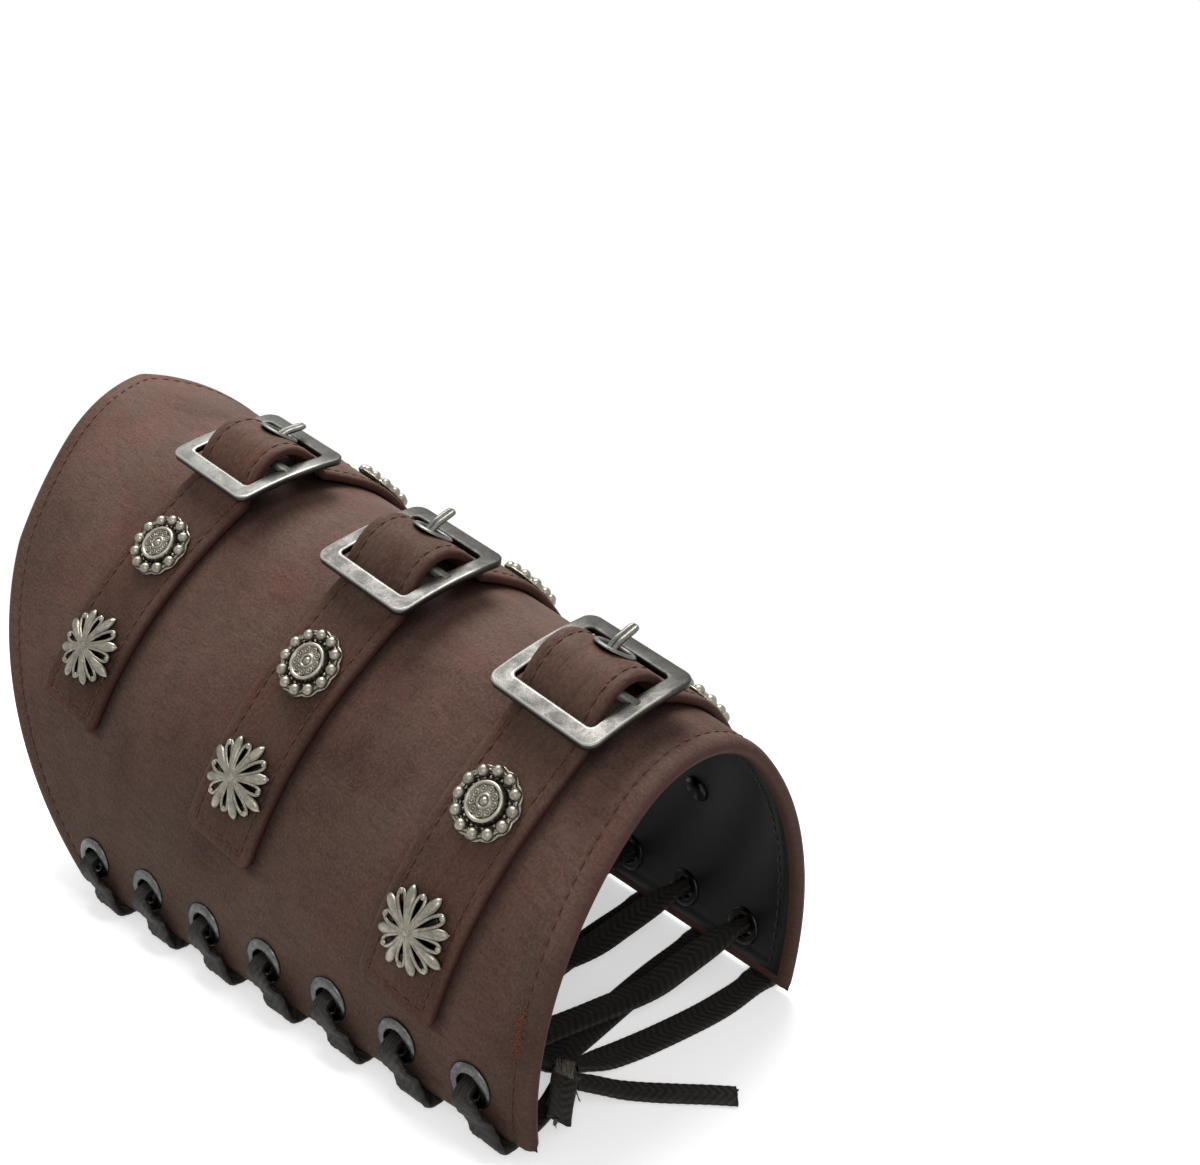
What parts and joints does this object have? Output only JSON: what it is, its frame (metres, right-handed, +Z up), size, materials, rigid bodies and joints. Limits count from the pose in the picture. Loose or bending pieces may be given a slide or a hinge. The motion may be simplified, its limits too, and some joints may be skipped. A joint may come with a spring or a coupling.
{
  "type": "leather bracer",
  "caption": "Leather forearm guard rolled to a tapering tube, with buckled straps over the top, cast metal studs and a flat lace through eyelets along its edges.",
  "frame": {"origin": "on the table, under the middle of the leather shell's length and width", "axes": "+Y along the forearm from the wrist to the elbow, +Z up out of the straps' side, +X to the right seen from the wrist end"},
  "size_m": [0.1558, 0.2844, 0.143],
  "materials": {
    "outer_leather": "satin, mottled mauve brown with a fine grain",
    "stiffener": "matte board of undyed leather",
    "lining": "smooth black",
    "strap_leather": "satin, mottled mauve brown with a fine grain",
    "buckle_metal": "antique silver, darkened and worn bright at the edges",
    "prong_metal": "antique silver",
    "stud_metal": "antique silver with dark recesses",
    "eyelet_metal": "gunmetal",
    "lace": "flat woven, dark brown black"
  },
  "bodies": {
    "bracer": {"outer_leather": "outer_leather", "stiffener": "stiffener", "lining": "lining", "strap_elbow": "strap_leather", "strap_middle": "strap_leather", "strap_wrist": "strap_leather", "buckle_elbow": "buckle_metal", "buckle_middle": "buckle_metal", "buckle_wrist": "buckle_metal", "strap_eyelet_elbow": "stud_metal", "strap_eyelet_middle": "stud_metal", "strap_eyelet_wrist": "stud_metal", "rosette_elbow_left": "stud_metal", "rosette_elbow_right": "stud_metal", "rosette_middle_left": "stud_metal", "rosette_middle_right": "stud_metal", "rosette_wrist_left": "stud_metal", "rosette_wrist_right": "stud_metal", "star_elbow_left": "stud_metal", "star_elbow_right": "stud_metal", "star_middle_left": "stud_metal", "star_middle_right": "stud_metal", "star_wrist_left": "stud_metal", "star_wrist_right": "stud_metal", "rivet_caps_elbow": "eyelet_metal", "rivet_caps_middle": "eyelet_metal", "rivet_caps_wrist": "eyelet_metal", "eyelets_left": "eyelet_metal", "eyelets_right": "eyelet_metal", "eyelet_washers_left": "eyelet_metal", "eyelet_washers_right": "eyelet_metal", "lace": "lace", "lace_knot": "lace", "lace_tail_long": "lace", "lace_tail_short": "lace"},
    "prong_elbow": {"prong_elbow": "prong_metal"},
    "prong_middle": {"prong_middle": "prong_metal"},
    "prong_wrist": {"prong_wrist": "prong_metal"}
  },
  "joints": [
    {"name": "prong_elbow_hinge", "type": "hinge", "parent": "bracer", "child": "prong_elbow", "pos_m": [-0.01273, 0.04286, 0.13384], "axis": [0.0002, -0.9874, -0.158], "range_deg": [-2, 20]},
    {"name": "prong_middle_hinge", "type": "hinge", "parent": "bracer", "child": "prong_middle", "pos_m": [-0.01293, -0.0304, 0.12206], "axis": [0.0003, -0.9874, -0.1583], "range_deg": [-17, 4]},
    {"name": "prong_wrist_hinge", "type": "hinge", "parent": "bracer", "child": "prong_wrist", "pos_m": [-0.01316, -0.10178, 0.11053], "axis": [0.0004, -0.9873, -0.1588], "range_deg": [-15, 4]}
  ]
}
